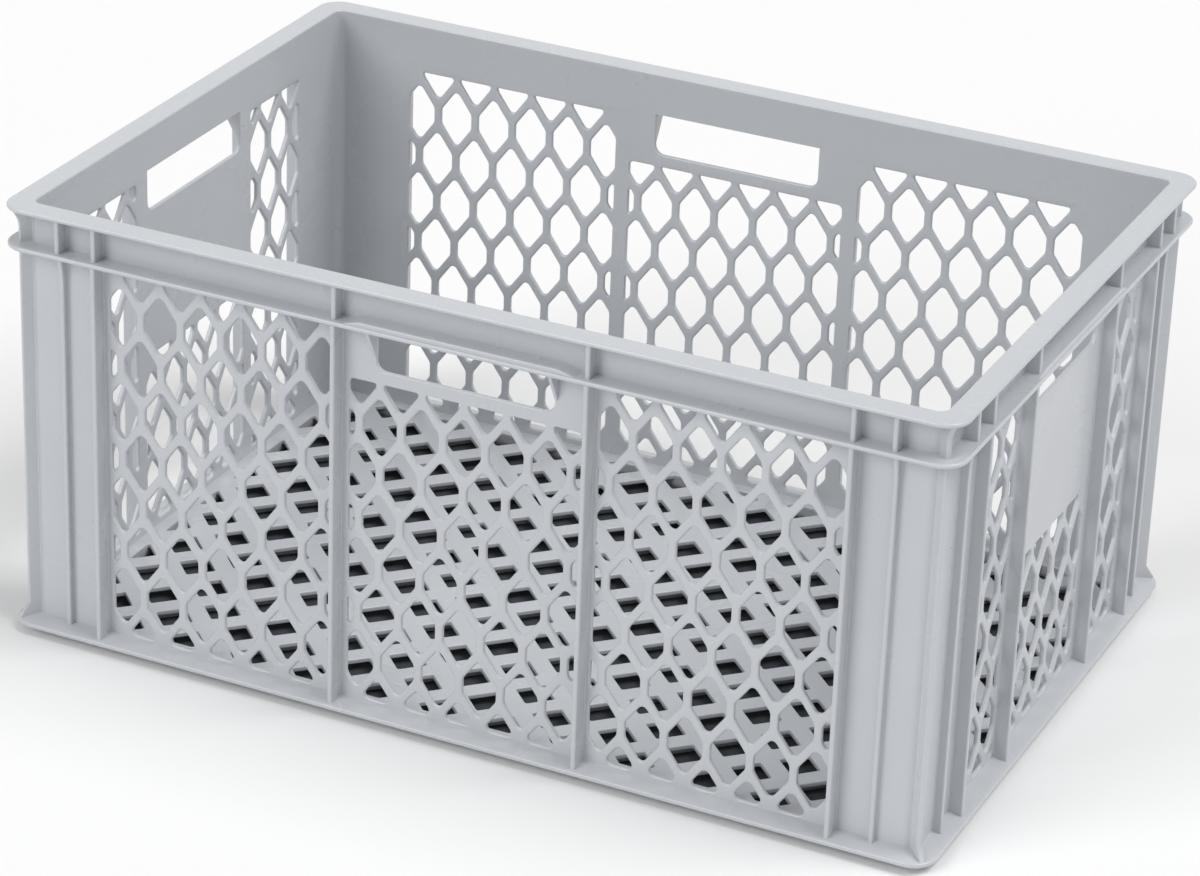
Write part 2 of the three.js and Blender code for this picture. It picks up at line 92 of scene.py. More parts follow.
# What follows from them: from the outermost edge in to a corner post's end and to the wall's outside, the wall's
# thickness, and half a rib's.
POST_END = CAD_BOX[1].x - LONG_MESH[1].x
INSET = CAD_BOX[1].y + LONG_MESH[0].y
SKIN = LONG_MESH[1].y - LONG_MESH[0].y
RIB_HALF = (LONG_RIB[1].x - LONG_RIB[0].x) / 2

# How deep a piece starts inside the one that carries it, so that no gap shows.
ROOT = 1 * MM
GRIP_ROOT = 1.5 * MM
GRIP_SUNK = 0.3 * MM

# Over the skirt's underside: where an upright rib and a diagonal rib start, and where the diagonal one's foot slopes.
UPRIGHT_START = 1.5 * MM
DIAGONAL_START = 2 * MM
DIAGONAL_SLOPE = 4 * MM

# A hole trimmed down to less than this is left filled.
SMALLEST_HOLE = 30 * MM * MM
# Points nearer than this are one point.
SAME_POINT = 1e-9
# A side shorter than this, or a corner flatter than this, is left out of a rounded outline.
SHORTEST_SIDE = 1e-7
FLATTEST_CORNER = math.radians(1)
# A rounded corner takes up at most this share of each of its sides, in steps of about this angle.
CORNER_SHARE = 0.49
CORNER_STEP = math.radians(30)
# Straight pieces in the rounded edge of the lip, the mouth and the grips.
EDGE_STEPS = 3

# Shading: edges that turn more stay sharp, and over 50 the larger faces set the shading of what is beside them.
SHARP = math.radians(50)
FACE_WEIGHT = 90

# Sizes of the noise that draws the surfaces' marks.
FLOW_MARKS = 90 * MM  # They are 60 to 150 mm long.
RUB_MARKS = 4 * MM  # They are under 0.5 mm wide, and drawn larger so that they show.
GRAIN = 0.9 * MM  # The mould's grain is about 0.15 mm, and drawn larger so that it shows.
SHRINK_WAVES = 35 * MM  # They are 25 to 40 mm long.
PAPER_TOOTH = 3 * MM  # The paper's fibres are 0.3 mm long, and drawn larger so that they show.

# How far a rub mark goes towards the scuffs' colour, and how far down the lip's edge the marks fade out.
RUBBED = 0.25
RUB_START = 0.2 * MM
RUB_END = 1.6 * MM
# Roughness of the moulding between one flow mark and the next, and of the papers.
SATIN = (0.24, 0.33)
PAPER_ROUGHNESS = 0.95

SENSOR_WIDTH = 36  # Millimetres, as Blender has it.
VIEW_END = 100  # Past the far edge of the paper.


def linear(code):
    """An sRGB hex colour as linear red, green, blue and alpha."""
    parts = [int(code[i : i + 2], 16) / 255 for i in (1, 3, 5)]
    return [c / 12.92 if c <= 0.04045 else ((c + 0.055) / 1.055) ** 2.4 for c in parts] + [1.0]


def length(name, default, text):
    """A length property in metres."""
    return FloatProperty(
        name=name, description=text, default=default, min=0.0, unit="LENGTH", subtype="DISTANCE", precision=5
    )


def colour(name, code, text):
    """A colour property from an sRGB hex colour."""
    return FloatVectorProperty(
        name=name, description=text, default=linear(code), size=4, min=0.0, max=1.0, subtype="COLOR"
    )


class CrateSizes(bpy.types.PropertyGroup):
    """Sizes of the moulding that the frame's boxes don't give."""

    corner_radius: length("Corner radius", 15 * MM, "Of the lip, flange and skirt, seen from above")
    skin_radius: length("Skin corner radius", 9 * MM, "Of the outside of the wall at each corner")
    first_rib: length("First rib", 38 * MM, "From the end of the wall to the middle of the first rib")
    second_rib: length("Second rib", 62.5 * MM, "From the end of the wall to the middle of the second rib")
    long_first_inset: length("Long wall first rib inset", 8 * MM, "From the outermost edge in to the rib")
    short_first_inset: length("Short wall first rib inset", 6.5 * MM, "From the outermost edge in to the rib")
    first_top_inset: length("First rib top inset", 5 * MM, "From the outermost edge in to the rib's spread top")
    first_spread: length("First rib spread", 22 * MM, "Height over which the first rib spreads")
    band_rib_inset: length("Band rib inset", 3 * MM, "From the outermost edge in to the ribs over the flange")
    diagonal_inset: length("Diagonal rib inset", 9 * MM, "Along both walls alike, to the corner's rib")
    diagonal_foot: length("Diagonal rib foot inset", 5 * MM, "Along both walls alike, to the rib's spread foot")
    diagonal_flare: length("Diagonal rib flare", 7 * MM, "Height over which the rib's foot spreads")
    gusset_straight: length("Gusset straight", 9 * MM, "Height up to which a corner gusset's edge is upright")
    gusset_top_inset: length("Gusset top inset", 5.3 * MM, "Along both walls alike, where it meets the lip")
    mesh_pitch: length("Mesh pitch", 26.85 * MM, "Between neighbouring struts of the wall mesh")
    row_pitch: length("Row pitch", 30.5 * MM, "Between neighbouring rows of the wall mesh")
    strut: length("Strut length", 12 * MM, "Of the upright part of each strand")
    strand: length("Strand width", 5.3 * MM, "Of the wall mesh")
    tip_round: length("Hole rounding", 3.0 * MM, "Radius of the corners of each hole in the walls")
    top_row: length("Top row drop", 2.25 * MM, "From the flange's underside to the first row's middle")
    margin_top: length("Margin above mesh", 5 * MM, "Plain strip above the outer panels' holes")
    margin_foot: length("Margin below mesh", 1.5 * MM, "Plain strip below the holes")
    margin_post: length("Margin at post", 3 * MM, "Plain strip between the holes and the corner post")
    margin_frame: length("Margin under frame", 3 * MM, "Plain strip above the centre mesh")
    long_margin_out: length("Long wall margin out", 4.5 * MM, "From the divider's middle to the outer holes")
    long_margin_in: length("Long wall margin in", 6 * MM, "From the divider's middle to the centre holes")
    short_margin_out: length("Short wall margin out", 3 * MM, "From the divider's middle to the outer holes")
    short_margin_in: length("Short wall margin in", 7 * MM, "From the divider's middle to the centre holes")
    handle_height: length("Hand hole height", 27 * MM, "From the flange's underside down")
    handle_width: length("Hand hole width", 112 * MM, "Between its upright sides")
    handle_radius: length("Hand hole radius", 6 * MM, "Of its lower corners")
    web: length("Web thickness", 2.4 * MM, "Of the three-cornered web at each end of a hand hole")
    web_height: length("Web height", 19 * MM, "Of the three-cornered web at each end of a hand hole")
    web_round: length("Web rounding", 0.7 * MM, "Radius of the edges of each web")
    grip_rise: length("Grip rise", 2.7 * MM, "Of the raised grip over the flange")
    grip_half: length("Grip half length", 62 * MM, "Of the raised grip's top")
    grip_ramp: length("Grip ramp", 12 * MM, "Length of the raised grip's sloping ends")
    floor_pitch: length("Floor pitch", 30.2 * MM, "Between neighbouring floor bars")
    floor_bar: length("Floor bar", 12 * MM, "Width of a floor bar")
    floor_margin: length("Floor margin", 8 * MM, "Plain strip round the floor's holes")
    deep_rib: length("Deep rib", 3 * MM, "Thickness of the ribs under the floor")
    foot_rim: length("Foot rim", 6 * MM, "Width of the stacking foot's rim")
    lip_round: length("Lip rounding", 1.3 * MM, "Radius of the outer edges of the lip and the flange")
    mouth_round: length("Mouth rounding", 1.0 * MM, "Radius of the lip's inner edge")
    skirt_edge: length("Skirt edge", 3 * MM, "Height of the skirt's upright edge")
    skirt_round: length("Skirt rounding", 0.9 * MM, "Radius of the skirt's outer edges")
    rib_round: length("Rib rounding", 1.1 * MM, "Radius of the outer edges of each rib")
    rib_fillet: length("Rib fillet", 0.7 * MM, "Radius where a rib meets the wall")
    strand_round: length("Strand rounding", 1.1 * MM, "Radius of the edges of each strand")
    floor_round: length("Floor bar rounding", 0.8 * MM, "Radius of the edges of each floor bar")
    floor_corner: length("Floor hole rounding", 1.2 * MM, "Radius of the corners of each hole in the floor")
    round_steps: IntProperty(name="Corner steps", description="Straight pieces in a quarter turn", default=12, min=3)


class CrateColours(bpy.types.PropertyGroup):
    """Colours of the moulding and of the stage."""

    moulding: colour("Moulding", "#C3C6CA", "Light cool grey polyethylene")
    moulding_flow: colour("Flow marks", "#BCBFC4", "Where the melt flowed a little thinner in pigment")
    scuffs: colour("Scuffs", "#D3D5D8", "Where stacking rubs the lip")
    paper: colour("Paper", "#F1F1F1", "Paper floor, just short of white under the lamps")
    # Painted shade: the colour of the dark sheet that stands in for the shadow under the crate.
    shade_sheet: colour("Card", "#3F4347", "Dark card under the crate")


class CrateStage(bpy.types.PropertyGroup):
    """Camera, lights and the paper under the crate."""

    camera_place: FloatVectorProperty(
        name="Camera place", description="Where the camera stands", default=(0.9894, -2.1554, 1.2745),
        subtype="TRANSLATION", unit="LENGTH",
    )
    azimuth: FloatProperty(
        name="Azimuth", description="Turn of the view from +Y", default=math.radians(24.694), subtype="ANGLE"
    )
    elevation: FloatProperty(
        name="Elevation", description="How far the view looks down", default=math.radians(26.016), subtype="ANGLE"
    )
    roll: FloatProperty(name="Roll", description="Tilt of the picture", default=math.radians(2.160), subtype="ANGLE")
    focal: FloatProperty(name="Focal length", description="In millimetres on a 36 mm sensor", default=130.312)
    left_light: FloatProperty(name="Left light", description="Strength of the soft light at front left", default=1.25)
    right_light: FloatProperty(name="Right light", description="Strength of the soft light above right", default=1.8)
    fill: FloatProperty(name="Fill", description="Strength of the light from all round", default=0.4)
    left_direction: FloatVectorProperty(
        name="Left direction", description="Way that the left light shines", default=(0.40, 0.74, -0.54),
        subtype="XYZ",
    )
    right_direction: FloatVectorProperty(
        name="Right direction", description="Way that the right light shines", default=(-0.52, -0.08, -0.85),
        subtype="XYZ",
    )
    lamp_angle: FloatProperty(
        name="Lamp angle", description="How wide each light looks from the crate", default=math.radians(35),
        subtype="ANGLE",
    )
    paper_size: length("Paper size", 24.0, "Length of the floor's sides")
    paper_drop: length("Paper drop", 0.4 * MM, "From the foot's underside down to the paper")
    # Painted shade: the dark sheet that stands in for the shadow under the crate lies this far under the foot.
    shade_sheet_drop: length("Card drop", 0.2 * MM, "From the foot's underside down to the card")


# Outlines


def clipped(points, window):
    """The part of a convex polygon inside a window (left, right, foot, top)."""
    left, right, foot, top = window
    sides = (lambda p: p[0] - left, lambda p: right - p[0], lambda p: p[1] - foot, lambda p: top - p[1])
    for inside in sides:
        kept = []
        for i, point in enumerate(points):
            after = points[(i + 1) % len(points)]
            a, b = inside(point), inside(after)
            if a >= 0:
                kept.append(point)
            if a * b < 0:
                share = a / (a - b)
                kept.append(tuple(p + share * (q - p) for p, q in zip(point, after)))
        points = kept
    return points


def area(points):
    """Area of a polygon, positive when it runs counter-clockwise."""
    pairs = zip(points, points[1:] + points[:1])
    return sum(p[0] * q[1] - q[0] * p[1] for p, q in pairs) / 2


def rounded(points, radius, steps=None):
    """A convex outline with rounded corners, as a function that gives its points at any offset outwards."""
    arcs = []
    for i, corner in enumerate(points):
        here = Vector(corner)
        before = here - Vector(points[i - 1])
        after = Vector(points[(i + 1) % len(points)]) - here
        turn = -before.angle_signed(after)
        if before.length < SHORTEST_SIDE or turn < FLATTEST_CORNER:
            continue
        room = CORNER_SHARE * min(before.length, after.length) / math.tan(turn / 2)
        bend = min(radius, room)
        out_before = Vector((before.y, -before.x)).normalized()
        out_after = Vector((after.y, -after.x)).normalized()
        centre = here - (out_before + out_after).normalized() * (bend / math.cos(turn / 2))
        start = math.atan2(out_before.y, out_before.x)
        count = steps or max(1, round(turn / CORNER_STEP))
        arcs.append((centre, bend, [start + turn * k / count for k in range(count + 1)]))

    def at(grow):
        return [
            (centre.x + (bend + grow) * math.cos(angle), centre.y + (bend + grow) * math.sin(angle))
            for centre, bend, angles in arcs
            for angle in angles
        ]

    return at


def ring_points(inset, radius, steps):
    """A rounded rectangle round the crate, inset from its outermost edge, counter-clockwise."""
    x = CAD_BOX[1].x - inset - radius
    y = CAD_BOX[1].y - inset - radius
    points = []
    for corner, (cx, cy) in enumerate(((x, y), (-x, y), (-x, -y), (x, -y))):
        for step in range(steps + 1):
            angle = (corner + step / steps) * math.pi / 2
            points.append((cx + radius * math.cos(angle), cy + radius * math.sin(angle)))
    return points


def quarter(steps):
    """The angles of a quarter turn, in equal steps from 0."""
    return [(k / steps) * math.pi / 2 for k in range(steps + 1)]


def edge_profile(low, high, round_low, round_high, steps=2):
    """(offset, level) from one cap of a plate to the other. An edge with no radius is one point."""
    low_arc = quarter(steps) if round_low else [math.pi / 2]
    high_arc = reversed(quarter(steps)) if round_high else [math.pi / 2]
    profile = [(round_low * (1 - math.sin(a)), low + round_low * (1 - math.cos(a))) for a in low_arc]
    profile += [(round_high * (1 - math.sin(a)), high - round_high * (1 - math.cos(a))) for a in high_arc]
    return profile


def outer_edge(sizes, low, high, bend, steps=EDGE_STEPS):
    """(inset, radius, level) up the outermost edge of a flange, with both its edges rounded."""
    arc = quarter(steps)
    edge = [(bend * (1 - math.sin(a)), low + bend * (1 - math.cos(a))) for a in arc]
    edge += [(bend * (1 - math.cos(a)), high - bend * (1 - math.sin(a))) for a in arc]
    return [(inset, sizes.corner_radius - inset, level) for inset, level in edge]


def rib_section(half, reach, root, bend, fillet, steps=3):
    """Cross-section of a rib, (across, out): rounded outer edges, and a fillet down to the wall."""
    arc = quarter(steps)
    right = [(half + fillet, -root)]
    if fillet:
        right += [(half + fillet - fillet * math.sin(a), fillet - fillet * math.cos(a)) for a in arc]
    right += [(half - bend + bend * math.cos(a), reach - bend + bend * math.sin(a)) for a in arc]
    return right + [(-x, y) for x, y in reversed(right)]


# Solids in a bmesh


def add_rings(bm, rings, closed_along=True):
    """Joins rings of points by quads, and the last ring to the first if closed_along. Returns the vertices."""
    made = [[bm.verts.new(point) for point in ring] for ring in rings]
    pairs = list(zip(made, made[1:])) + ([(made[-1], made[0])] if closed_along else [])
    for here, after in pairs:
        for i in range(len(here)):
            j = (i + 1) % len(here)
            bm.faces.new((here[i], here[j], after[j], after[i]))
    return made


def add_ring_solid(bm, section, steps):
    """A solid that runs round the crate, through the (inset, radius, level) corners of its cross-section."""
    add_rings(bm, [[(x, y, z) for x, y in ring_points(inset, radius, steps)] for inset, radius, z in section])


def add_plate(bm, outer, holes, profile):
    """A plate with holes. Each outline is a function of the offset outwards from it."""
    edges = []
    for sign, outline in [(-1, outer)] + [(1, hole) for hole in holes]:
        rings = []
        for grow, level in profile:
            rings.append([(x, y, level) for x, y in outline(sign * grow)])
        edges.append(add_rings(bm, rings, closed_along=False))
    for end in (0, -1):
        loops = [rings[end] for rings in edges]
        verts = [vert for loop in loops for vert in loop]
        faces, start = [], 0
        for loop in loops:
            faces.append(list(range(start, start + len(loop))))
            start += len(loop)
        flat = [vert.co.xy for vert in verts]
        _, _, triangles, origin, _, owners = delaunay_2d_cdt(flat, [], faces, 1, SAME_POINT)
        for triangle, owner in zip(triangles, owners):
            if any(owner_face > 0 for owner_face in owner):
                continue
            bm.faces.new([verts[origin[v][0]] for v in triangle])


def add_rib(bm, stations, place):
    """A rib through (level, section) stations, put in its place by a matrix."""
    rings = [[place @ Vector((x, -out, level)) for x, out in section] for level, section in stations]
    made = add_rings(bm, rings, closed_along=False)
    bm.faces.new(made[0])
    bm.faces.new(made[-1])


def new_object(context, name, bm, material):
    """Makes a bmesh into an object of the scene."""
    mesh = bpy.data.meshes.new(name)
    bm.to_mesh(mesh)
    bm.free()
    mesh.materials.append(material)
    made = bpy.data.objects.new(name, mesh)
    context.scene.collection.objects.link(made)
    return made


def finish_piece(context, name, bm, nodes):
    """Makes a bmesh into a piece of the crate that stands for nodes of the frame."""
    bmesh.ops.recalc_face_normals(bm, faces=bm.faces)
    piece = new_object(context, name, bm, moulded_polyethylene(context))
    piece.data.shade_smooth()
    piece.data.set_sharp_from_angle(angle=SHARP)
    even = piece.modifiers.new("even_shading", "WEIGHTED_NORMAL")
    even.keep_sharp = True
    even.weight = FACE_WEIGHT
    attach(piece, BODY)
    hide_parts(*nodes)


# Materials


def add_node(tree, kind, settings=None, inputs=None):
    """Adds a node with its settings. Each input is a value or another node's output."""
    made = tree.nodes.new(kind)
    for name, value in (settings or {}).items():
        setattr(made, name, value)
    for name, value in (inputs or {}).items():
        if isinstance(value, bpy.types.NodeSocket):
            tree.links.new(value, made.inputs[name])
        else:
            made.inputs[name].default_value = value
    return made


def new_material(name):
    """A material with its node tree and its shader."""
    material = bpy.data.materials.new(name)
    material.use_nodes = True
    return material, material.node_tree, material.node_tree.nodes["Principled BSDF"]


def moulded_polyethylene(context):
    """High-density polyethylene, injection moulded against a fine spark-eroded steel mould.

    To the eye it is satin: broad soft highlights, faint waviness where thick ribs shrink behind the thin
    wall, and slight flow marks in the pigment. Stacking rubs the lip a little paler.
    """
    name = "moulded_polyethylene"
    if name in bpy.data.materials:
        return bpy.data.materials[name]
    colours = context.scene.crate_colours
    material, tree, shader = new_material(name)
    shader.inputs["IOR"].default_value = 1.53
    place = add_node(tree, "ShaderNodeTexCoord").outputs["Object"]
    flow = add_node(
        tree, "ShaderNodeTexNoise", {},
        {"Vector": place, "Scale": 1 / FLOW_MARKS, "Detail": 3.0, "Roughness": 0.55, "Distortion": 0.6},
    )
    rubs = add_node(tree, "ShaderNodeTexNoise", {}, {"Vector": place, "Scale": 1 / RUB_MARKS, "Detail": 4.0})
    height = add_node(tree, "ShaderNodeSeparateXYZ", {}, {"Vector": place}).outputs["Z"]
    on_lip = add_node(
        tree, "ShaderNodeMapRange", {"interpolation_type": "SMOOTHSTEP"},
        {"Value": height, "From Min": LIP[1].z - RUB_END, "From Max": LIP[1].z - RUB_START},
    )
    rubbed = add_node(
        tree, "ShaderNodeMapRange", {"interpolation_type": "SMOOTHSTEP"},
        {"Value": rubs.outputs["Fac"], "From Min": 0.5, "From Max": 0.72, "To Max": RUBBED},
    )
    scuffed = add_node(
        tree, "ShaderNodeMath", {"operation": "MULTIPLY"}, {0: on_lip.outputs["Result"], 1: rubbed.outputs["Result"]}
    )
    pigment = add_node(
        tree, "ShaderNodeMix", {"data_type": "RGBA"},
        {"Factor": flow.outputs["Fac"], "A": colours.moulding, "B": colours.moulding_flow},
    )
    surface = add_node(
        tree, "ShaderNodeMix", {"data_type": "RGBA"},
        {"Factor": scuffed.outputs["Value"], "A": pigment.outputs["Result"], "B": colours.scuffs},
    )
    tree.links.new(surface.outputs["Result"], shader.inputs["Base Color"])
    gloss = add_node(
        tree, "ShaderNodeMapRange", {},
        {"Value": flow.outputs["Fac"], "From Min": 0.3, "From Max": 0.7, "To Min": SATIN[0], "To Max": SATIN[1]},
    )
    tree.links.new(gloss.outputs["Result"], shader.inputs["Roughness"])
    grain = add_node(tree, "ShaderNodeTexNoise", {}, {"Vector": place, "Scale": 1 / GRAIN, "Detail": 2.0})
    grained = add_node(
        tree, "ShaderNodeBump", {}, {"Height": grain.outputs["Fac"], "Strength": 0.25, "Distance": 0.06 * MM}
    )
    waves = add_node(tree, "ShaderNodeTexNoise", {}, {"Vector": place, "Scale": 1 / SHRINK_WAVES, "Detail": 1.0})
    waved = add_node(
        tree, "ShaderNodeBump", {},
        {"Height": waves.outputs["Fac"], "Strength": 0.5, "Distance": 0.5 * MM, "Normal": grained.outputs["Normal"]},
    )
    tree.links.new(waved.outputs["Normal"], shader.inputs["Normal"])
    return material


# The pieces

WALLS = {"front": 0, "end_right": 1, "back": 2, "end_left": 3}
CORNERS = {"front_right": (1, -1), "front_left": (-1, -1), "back_left": (-1, 1), "back_right": (1, 1)}


def wall_turn(quarters):
    """Turns a piece modelled on the -Y side to its wall."""
    return Matrix.Rotation(quarters * math.pi / 2, 4, "Z")


class Wall(NamedTuple):
    """What the long and the short walls don't share, measured on the wall as it stands on the -Y side."""

    half: float
    face: float
    divider: float
    rib_reach: float
    first_inset: float
    margin_out: float
    margin_in: float
    centre_top: float
    mesh_centred: bool


def wall_facts(sizes, quarters):
    """The facts of one wall, by its quarter turns from the -Y side."""
    if quarters % 2 == 0:
        return Wall(
            half=CAD_BOX[1].x,
            face=CAD_BOX[1].y,
            divider=(LONG_RIB[0].x + LONG_RIB[1].x) / 2,
            rib_reach=LONG_MESH[0].y - LONG_RIB[0].y,
            first_inset=sizes.long_first_inset,
            margin_out=sizes.long_margin_out,
            margin_in=sizes.long_margin_in,
            centre_top=LONG_HANDLE[0].z,
            mesh_centred=True,
        )
    return Wall(
        half=CAD_BOX[1].y,
        face=CAD_BOX[1].x,
        divider=abs(SHORT_RIB[0].y + SHORT_RIB[1].y) / 2,
        rib_reach=SHORT_RIB[1].x - SHORT_LABEL[1].x,
        first_inset=sizes.short_first_inset,
        margin_out=sizes.short_margin_out,
        margin_in=sizes.short_margin_in,
        centre_top=SHORT_LABEL[0].z,
        mesh_centred=False,
    )


def panel_windows(sizes, wall):
    """The windows of a wall's three mesh panels, each with the line that its mesh is set out from."""
    foot, top = LONG_MESH[0].z + sizes.margin_foot, LONG_MESH[1].z - sizes.margin_top
    near, far = wall.divider + wall.margin_out, wall.half - POST_END - sizes.margin_post
    middle = (near + far) / 2 if wall.mesh_centred else 0
    inner = wall.divider - wall.margin_in
    return [
        ((near, far, foot, top), middle),
        ((-far, -near, foot, top), -middle),
        ((-inner, inner, foot, wall.centre_top - sizes.margin_frame), 0),
    ]


def mesh_holes(sizes, windows, wall_top, first_row):
    """Outlines of the wall mesh's holes, trimmed to the windows of a wall's panels."""
    slope = (sizes.row_pitch - sizes.strut) / (sizes.mesh_pitch / 2)
    half = (sizes.mesh_pitch - sizes.strand) / 2
    peak = sizes.row_pitch - sizes.strut / 2 - sizes.strand / 2 * math.hypot(1, slope)
    shoulder = peak - half * slope
    hole = [(half, -shoulder), (half, shoulder), (0, peak), (-half, shoulder), (-half, -shoulder), (0, -peak)]
    outlines = []
    for window, middle in windows:
        left, right, foot, _ = window
        rows = math.ceil((wall_top - foot) / sizes.row_pitch)
        columns = math.ceil(max(middle - left, right - middle) / sizes.mesh_pitch) + 1
        for row in range(rows + 1):
            level = wall_top - sizes.top_row - row * sizes.row_pitch
            shift = sizes.mesh_pitch / 2 if (row + first_row) % 2 else 0
            for column in range(-columns, columns + 1):
                centre = middle + column * sizes.mesh_pitch + shift
                points = clipped([(centre + x, level + y) for x, y in hole], window)
                if len(points) > 2 and area(points) > SMALLEST_HOLE:
                    outlines.append(rounded(points, sizes.tip_round))
    return outlines


def hand_hole(sizes, wall_top, grow):
    """The notch under the flange, widened by an offset, from its right top down and round to its left top."""
    half = sizes.handle_width / 2
    # The outline goes on far over the wall's top, where its upper corners are cut off.
    low, high = wall_top - sizes.handle_height, wall_top + half
    loop = rounded([(-half, low), (half, low), (half, high), (-half, high)], sizes.handle_radius, steps=6)(grow)
    under = [point for point in loop if point[1] < wall_top]
    return [(half + grow, wall_top), *reversed(under), (-half - grow, wall_top)]


def add_web(bm, sizes, wall, along):
    """A three-cornered web beside a hand hole, from the wall out to the flange's edge."""
    top = LONG_MESH[1].z
    low = top - sizes.web_height
    reach = INSET - sizes.lip_round
    profile = [(-ROOT, low), (0, low), (reach, top), (reach, top + ROOT), (-ROOT, top + ROOT)]
    sides = []
    for x in (along - sizes.web / 2, along + sizes.web / 2):
        sides.append([bm.verts.new((x, INSET - wall.face - out, level)) for out, level in profile])
        bm.faces.new(sides[-1])
    edges = []
    for i in range(len(profile)):
        j = (i + 1) % len(profile)
        bm.faces.new((sides[0][i], sides[0][j], sides[1][j], sides[1][i]))
    for side in sides:
        edges.append(bm.edges.get((side[1], side[2])))
        edges.append(bm.edges.get((side[2], side[3])))
    bmesh.ops.bevel(bm, geom=edges, offset=sizes.web_round, segments=2, profile=0.5, affect="EDGES")


class CRATE_OT_walls(bpy.types.Operator):
    """Build the four walls, each one sheet with its mesh panels and hand hole"""

    bl_idname = "crate.walls"
    bl_label = "Walls"

    def execute(self, context):
        sizes = context.scene.crate_sizes
        foot, top = LONG_MESH[0].z, LONG_MESH[1].z
        for name, quarters in WALLS.items():
            wall = wall_facts(sizes, quarters)
            end = wall.half - POST_END
            holes = mesh_holes(sizes, panel_windows(sizes, wall), top, quarters % 2)

            def outer(grow, end=end):
                return [(-end, foot), (end, foot), (end, top), *hand_hole(sizes, top, -grow), (-end, top)]

            bm = bmesh.new()
            inner = wall.face - INSET - SKIN
            add_plate(bm, outer, holes, edge_profile(inner, inner + SKIN, sizes.strand_round, sizes.strand_round))
            bmesh.ops.transform(bm, matrix=Matrix.Rotation(math.pi / 2, 4, "X"), verts=bm.verts)
            for sign in (1, -1):
                add_web(bm, sizes, wall, sign * (sizes.handle_width + sizes.web) / 2)
            bmesh.ops.transform(bm, matrix=wall_turn(quarters), verts=bm.verts)
            nodes = [name + part for part in ("_centre_mesh", "_handle_frame", "_mesh_right", "_mesh_left")]
            if quarters % 2:
                nodes.append(name + "_label_panel")
            finish_piece(context, name + "_wall", bm, nodes)
        return {"FINISHED"}


class CRATE_OT_corner_posts(bpy.types.Operator):
    """Build the four corner posts: rounded skin, two ribs on each wall and the diagonal rib"""

    bl_idname = "crate.corner_posts"
    bl_label = "Corner posts"

    def execute(self, context):
        sizes = context.scene.crate_sizes
        steps = sizes.round_steps
        foot, top = LONG_MESH[0].z, LONG_MESH[1].z
        x, y = CAD_BOX[1].x, CAD_BOX[1].y
        outside = ring_points(INSET, sizes.skin_radius, steps)[: steps + 1]
        inside = ring_points(INSET + SKIN, sizes.skin_radius - SKIN, steps)[: steps + 1]
        section = [
            *reversed(inside),
            (x - INSET - SKIN, y - POST_END),
            (x - INSET, y - POST_END),
            *outside,
            (x - POST_END, y - INSET),
            (x - POST_END, y - INSET - SKIN),
        ]
        for name, (sx, sy) in CORNERS.items():
            bm = bmesh.new()
            add_plate(bm, lambda grow: section, [], edge_profile(foot, top, 0, 0))
            for quarters, side in ((2, -1), (1, 1)):
                wall = wall_facts(sizes, quarters)
                for along, stations in (
                    (wall.half - sizes.first_rib, first_rib_stations(sizes, wall)),
                    (wall.half - sizes.second_rib, upright_stations(sizes, wall.rib_reach)),
                ):
                    place = wall_turn(quarters) @ Matrix.Translation((side * along, INSET - wall.face, 0))
                    add_rib(bm, stations, place)
            add_rib(bm, diagonal_stations(sizes), diagonal_place())
            bmesh.ops.transform(bm, matrix=Matrix.Diagonal((sx, sy, 1, 1)), verts=bm.verts)
            finish_piece(context, "post_" + name, bm, ["corner_post_" + name])
        return {"FINISHED"}


def upright_section(sizes, reach):
    """Cross-section of an upright rib."""
    return rib_section(RIB_HALF, reach, ROOT, sizes.rib_round, sizes.rib_fillet)


def upright_stations(sizes, reach):
    """Stations of an upright rib that stands on the skirt and ends under the flange."""
    section = upright_section(sizes, reach)
    return [(SKIRT[0].z + UPRIGHT_START, section), (FLANGE[0].z + ROOT, section)]


def first_rib_stations(sizes, wall, steps=5):
    """Stations of a post's first rib, which curves out under the flange."""
    reach = INSET - wall.first_inset
    spread = wall.first_inset - sizes.first_top_inset
    stations = [(SKIRT[0].z + UPRIGHT_START, upright_section(sizes, reach))]
    for k in range(steps + 1):
        level = FLANGE[0].z - sizes.first_spread * (1 - k / steps)
        stations.append((level, upright_section(sizes, reach + spread * (k / steps) ** 2)))
    stations.append((FLANGE[0].z + ROOT, stations[-1][1]))
    return stations


def diagonal_place():
    """Turns a rib on the -Y side, at the corner's edge, to the +X +Y diagonal."""
    corner = Matrix.Translation((CAD_BOX[1].x, CAD_BOX[1].y, 0))
    return corner @ Matrix.Rotation(math.radians(135), 4, "Z")


def diagonal_section(sizes, rib_inset):
    """Section of a diagonal rib, out from the crate's square corner, inset along both walls alike."""
    skin = (INSET + sizes.skin_radius * (1 - math.sqrt(0.5))) * math.sqrt(2)
    reach = skin - rib_inset * math.sqrt(2)
    section = rib_section(RIB_HALF, reach, 2 * ROOT, sizes.rib_round, sizes.rib_fillet)
    return [(across, out - skin) for across, out in section]


def diagonal_stations(sizes):
    """Stations of a post's diagonal rib, with its spread foot."""
    spread = diagonal_section(sizes, sizes.diagonal_foot)
    plain = diagonal_section(sizes, sizes.diagonal_inset)
    return [
        (SKIRT[0].z + DIAGONAL_START, spread),
        (SKIRT[0].z + DIAGONAL_SLOPE, spread),
        (LONG_MESH[0].z + sizes.diagonal_flare, plain),
        (FLANGE[0].z + ROOT, plain),
    ]


